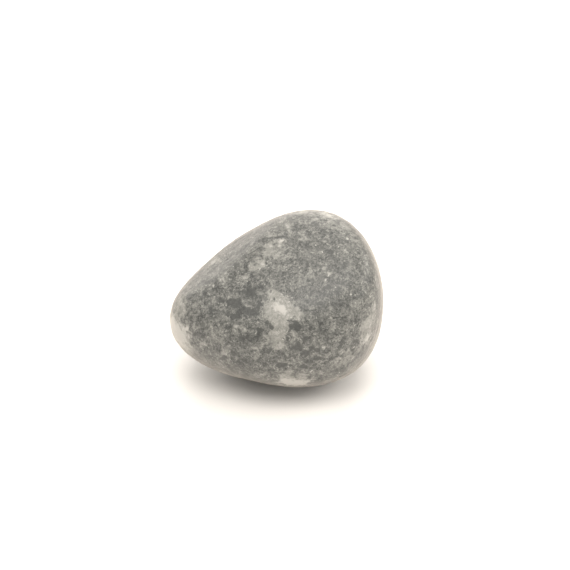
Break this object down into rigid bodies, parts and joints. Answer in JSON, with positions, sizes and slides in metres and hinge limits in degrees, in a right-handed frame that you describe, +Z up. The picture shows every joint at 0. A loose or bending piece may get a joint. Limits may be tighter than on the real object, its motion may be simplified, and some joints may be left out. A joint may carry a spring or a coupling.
{
  "type": "bluestone pebble",
  "caption": "Small tumbled pebble of grey spotted dolerite, egg-like in outline with one flatter upper flank and a soft ridge, resting on a small worn flat.",
  "frame": {"origin": "on the surface that the stone rests on, under the middle of its box", "axes": "+Z up from the resting flat, +X along the longest side from the narrow end to the broad end, -Y out of the broad front face with the white spot"},
  "size_m": [0.027, 0.0234, 0.0217],
  "materials": {
    "stone": "tumbled to a dull polish, dark and pale grain with white feldspar spots"
  },
  "bodies": {
    "root": {"stone": "stone"}
  },
  "joints": []
}
